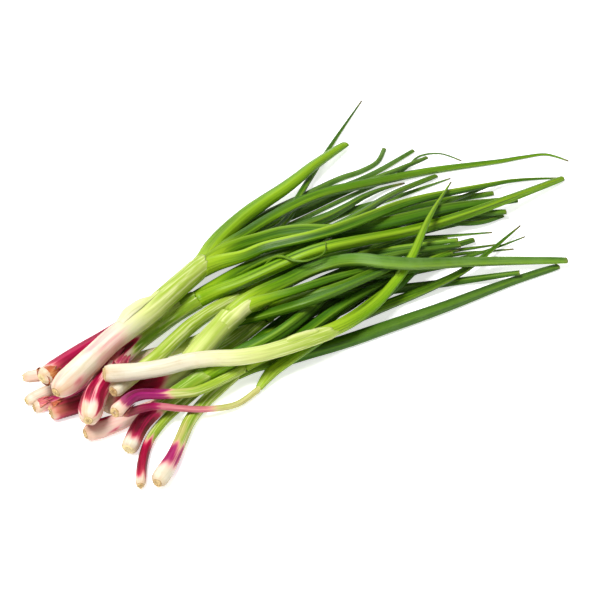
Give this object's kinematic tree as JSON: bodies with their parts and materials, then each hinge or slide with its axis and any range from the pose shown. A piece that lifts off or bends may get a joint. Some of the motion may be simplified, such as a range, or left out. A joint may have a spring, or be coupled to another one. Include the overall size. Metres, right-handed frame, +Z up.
{
  "type": "spring onion bunch",
  "caption": "Loose bunch of spring onions lying flat: pale and purple shanks with trimmed roots fan out into long green tubular leaves.",
  "frame": {"origin": "centre of the bunch's footprint, on the surface it lies on", "axes": "+X along the bunch from the roots to the leaf tips, +Z up"},
  "size_m": [0.4112, 0.2348, 0.038],
  "materials": {
    "pale_shank": "satin, moist",
    "purple_shank": "satin, moist",
    "green_leaf": "satin with a faint waxy bloom"
  },
  "bodies": {
    "root": {"onion_01_shank": "pale_shank", "onion_01_leaves": "green_leaf", "onion_02_shank": "purple_shank", "onion_02_leaves": "green_leaf", "onion_03_shank": "purple_shank", "onion_03_leaves": "green_leaf", "onion_04_shank": "pale_shank", "onion_04_leaves": "green_leaf", "onion_05_shank": "purple_shank", "onion_05_leaves": "green_leaf", "onion_06_shank": "pale_shank", "onion_06_leaves": "green_leaf", "onion_07_shank": "pale_shank", "onion_07_leaves": "green_leaf", "onion_08_shank": "purple_shank", "onion_08_leaves": "green_leaf", "onion_09_shank": "pale_shank", "onion_09_leaves": "green_leaf", "onion_10_shank": "purple_shank", "onion_10_leaves": "green_leaf", "onion_11_shank": "pale_shank", "onion_11_leaves": "green_leaf", "onion_12_shank": "purple_shank", "onion_12_leaves": "green_leaf", "onion_13_shank": "purple_shank", "onion_13_leaves": "green_leaf", "onion_14_shank": "purple_shank", "onion_14_leaves": "green_leaf", "onion_15_shank": "pale_shank", "onion_15_leaves": "green_leaf", "onion_16_shank": "pale_shank", "onion_16_leaves": "green_leaf"}
  },
  "joints": []
}
